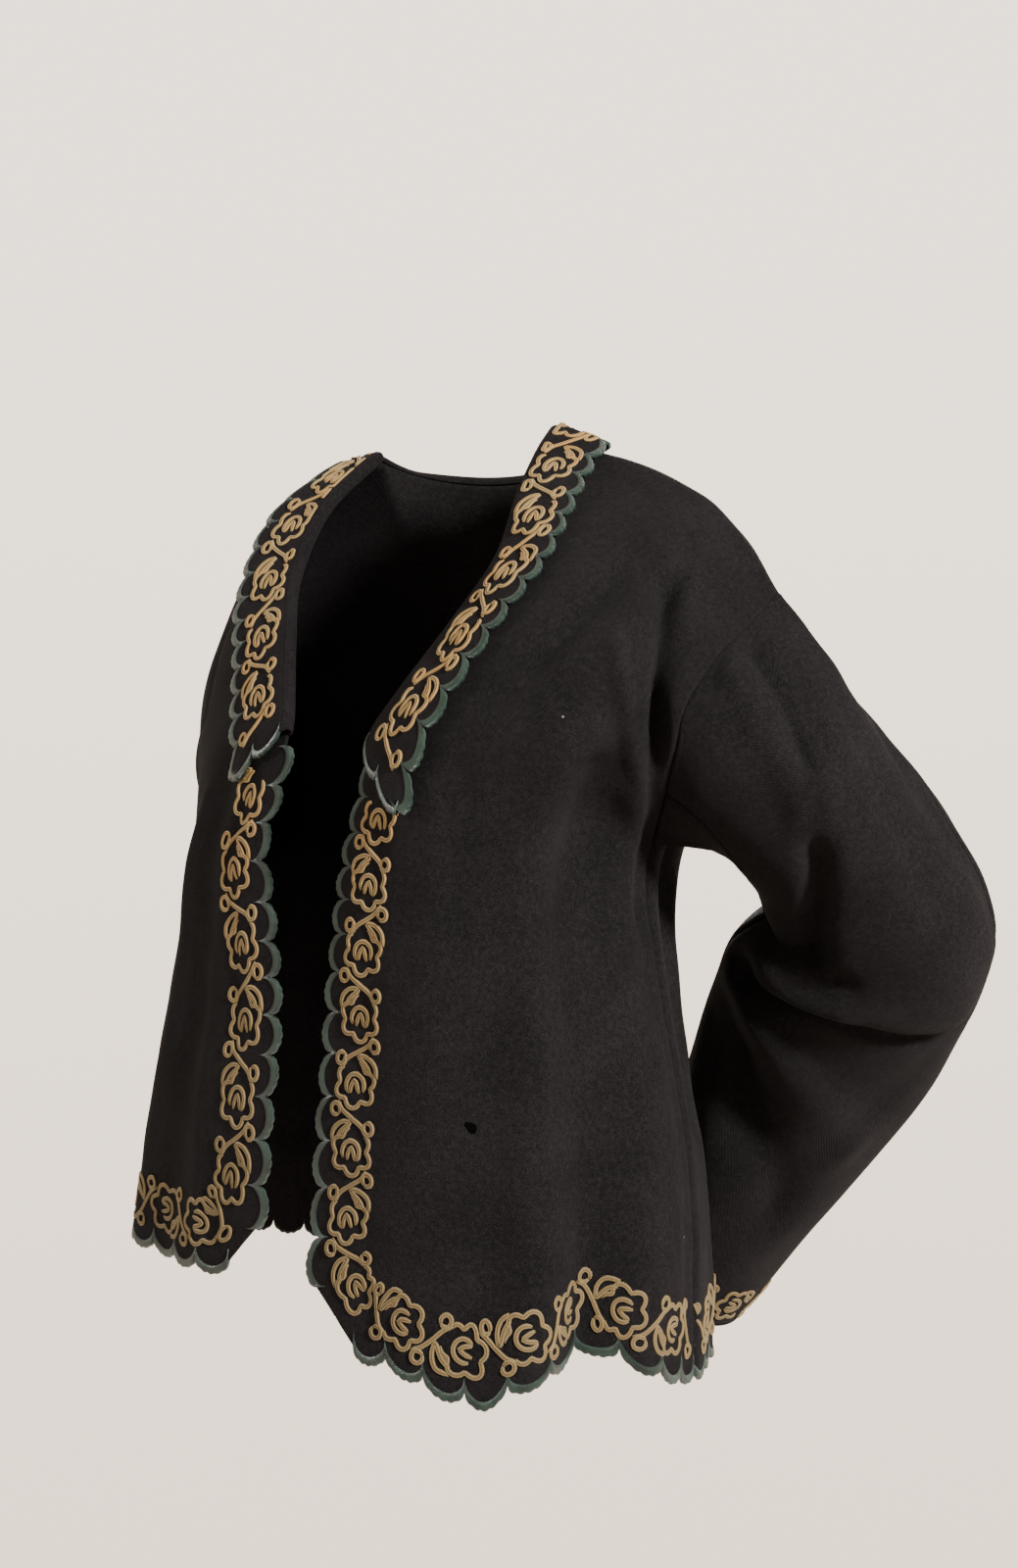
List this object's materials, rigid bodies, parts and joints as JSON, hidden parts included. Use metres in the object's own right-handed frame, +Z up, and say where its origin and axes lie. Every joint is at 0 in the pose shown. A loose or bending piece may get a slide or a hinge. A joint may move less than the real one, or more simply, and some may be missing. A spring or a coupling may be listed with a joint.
{
  "type": "embroidered open-front jacket",
  "caption": "Black wool jacket in its worn form with open fronts, fold-over collar, long sleeves, scalloped edges and a band of corded flowers.",
  "frame": {"origin": "middle of the neck opening, level with the two neck points, where the wearer carries the jacket", "axes": "+Z up, -Y towards the wearer's front, +X towards the wearer's left"},
  "size_m": [0.6255, 0.3778, 0.5965],
  "materials": {
    "wool_cloth": "matt napped wool",
    "wool_cord": "ridged braid",
    "satin_binding": "satin sheen"
  },
  "bodies": {
    "root": {"front_left": "wool_cloth", "front_right": "wool_cloth", "back": "wool_cloth", "collar_left": "wool_cloth", "collar_right": "wool_cloth", "sleeve_left_top": "wool_cloth", "sleeve_left_under": "wool_cloth", "sleeve_right_top": "wool_cloth", "sleeve_right_under": "wool_cloth"}
  },
  "joints": []
}
